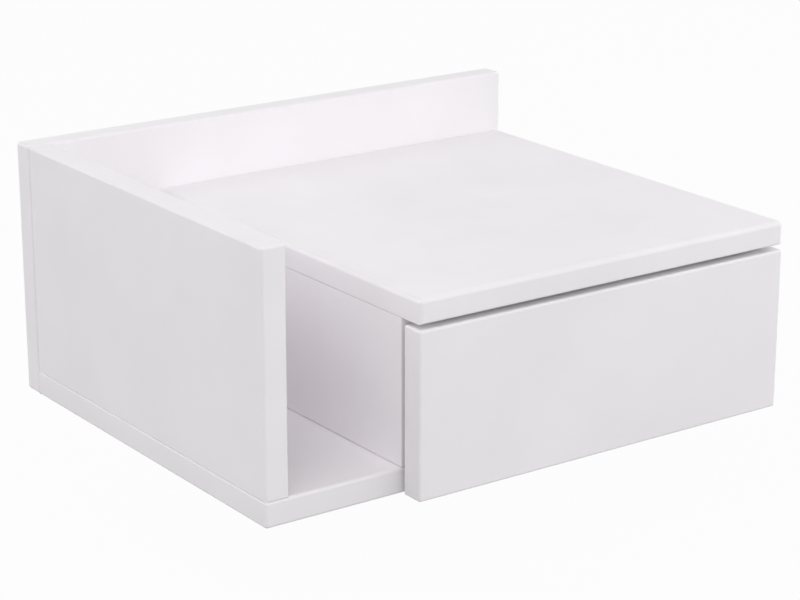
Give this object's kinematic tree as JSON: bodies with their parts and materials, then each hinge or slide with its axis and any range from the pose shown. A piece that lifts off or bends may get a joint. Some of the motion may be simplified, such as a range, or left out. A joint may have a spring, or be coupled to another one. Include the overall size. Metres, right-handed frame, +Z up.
{
  "type": "floating nightstand",
  "caption": "Wall-hung nightstand with an open magazine slot beside a sliding drawer with a plain front, a low shelf over the drawer and a back panel that rises behind it.",
  "frame": {"origin": "middle of the rear face of the back panel, which lies flat on the wall", "axes": "+X to the right along the wall seen from the front, +Y into the wall, +Z up"},
  "size_m": [0.37, 0.305, 0.164],
  "materials": {
    "lacquer": "satin white lacquer on fibreboard",
    "foil": "matt white foil on particle board",
    "hardboard": "white painted hardboard",
    "runner_enamel": "white epoxy powder coat on steel",
    "nylon": "moulded white nylon",
    "zinc": "zinc plated steel",
    "beech": "raw beech dowel",
    "bumper": "clear soft plastic"
  },
  "bodies": {
    "case": {"back_panel": "lacquer", "bottom_panel": "lacquer", "left_side_panel": "lacquer", "divider_panel": "lacquer", "right_side_panel": "lacquer", "top_shelf": "lacquer", "cabinet_runner_left": "runner_enamel", "cabinet_runner_right": "runner_enamel", "cabinet_roller_rivet_left": "zinc", "cabinet_roller_rivet_right": "zinc", "cabinet_runner_screw_left_rear": "zinc", "cabinet_runner_screw_left_front": "zinc", "cabinet_runner_screw_right_rear": "zinc", "cabinet_runner_screw_right_front": "zinc", "base_screw_left_rear": "zinc", "base_screw_left_front": "zinc", "base_screw_divider_rear": "zinc", "base_screw_divider_front": "zinc", "base_screw_right_rear": "zinc", "base_screw_right_front": "zinc", "back_screw_left_lower": "zinc", "back_screw_left_upper": "zinc", "back_screw_divider": "zinc", "back_screw_right": "zinc", "back_screw_shelf_left": "zinc", "back_screw_shelf_right": "zinc", "back_screw_bottom": "zinc", "shelf_dowel_divider_rear": "beech", "shelf_dowel_divider_front": "beech", "shelf_dowel_right_rear": "beech", "shelf_dowel_right_front": "beech", "front_bumper_divider": "bumper", "front_bumper_right": "bumper"},
    "drawer": {"drawer_front": "lacquer", "drawer_left_side": "foil", "drawer_right_side": "foil", "drawer_back": "foil", "drawer_bottom": "hardboard", "drawer_runner_left": "runner_enamel", "drawer_runner_right": "runner_enamel", "drawer_roller_rivet_left": "zinc", "drawer_roller_rivet_right": "zinc", "drawer_runner_screw_left_rear": "zinc", "drawer_runner_screw_left_front": "zinc", "drawer_runner_screw_right_rear": "zinc", "drawer_runner_screw_right_front": "zinc", "front_dowel_left": "beech", "front_dowel_right": "beech", "cam_bolt_left": "zinc", "cam_bolt_right": "zinc", "cam_lock_left": "zinc", "cam_lock_right": "zinc", "drawer_back_screw_left_lower": "zinc", "drawer_back_screw_left_upper": "zinc", "drawer_back_screw_right_lower": "zinc", "drawer_back_screw_right_upper": "zinc"},
    "front_roller_left": {"cabinet_roller_left": "nylon"},
    "front_roller_right": {"cabinet_roller_right": "nylon"},
    "rear_roller_left": {"drawer_roller_left": "nylon"},
    "rear_roller_right": {"drawer_roller_right": "nylon"}
  },
  "joints": [
    {"name": "drawer_slide", "type": "slide", "parent": "case", "child": "drawer", "axis": [0, -1, 0], "range_m": [0, 0.19]},
    {"name": "front_roller_left_spin", "type": "hinge", "parent": "case", "child": "front_roller_left", "pos_m": [-0.0711, -0.276, -0.0515], "axis": [1, 0, 0], "range_deg": [0, 1560]},
    {"name": "front_roller_right_spin", "type": "hinge", "parent": "case", "child": "front_roller_right", "pos_m": [0.1636, -0.276, -0.0515], "axis": [1, 0, 0], "range_deg": [0, 1560]},
    {"name": "rear_roller_left_spin", "type": "hinge", "parent": "drawer", "child": "rear_roller_left", "pos_m": [-0.0691, -0.048, -0.049], "axis": [1, 0, 0], "range_deg": [0, 1560]},
    {"name": "rear_roller_right_spin", "type": "hinge", "parent": "drawer", "child": "rear_roller_right", "pos_m": [0.1616, -0.048, -0.049], "axis": [1, 0, 0], "range_deg": [0, 1560]}
  ],
  "couplings": [
    {"joint": "front_roller_left_spin", "follows": "drawer_slide", "rad_per_m": 142.86},
    {"joint": "front_roller_right_spin", "follows": "drawer_slide", "rad_per_m": 142.86},
    {"joint": "rear_roller_left_spin", "follows": "drawer_slide", "rad_per_m": 142.86},
    {"joint": "rear_roller_right_spin", "follows": "drawer_slide", "rad_per_m": 142.86}
  ]
}
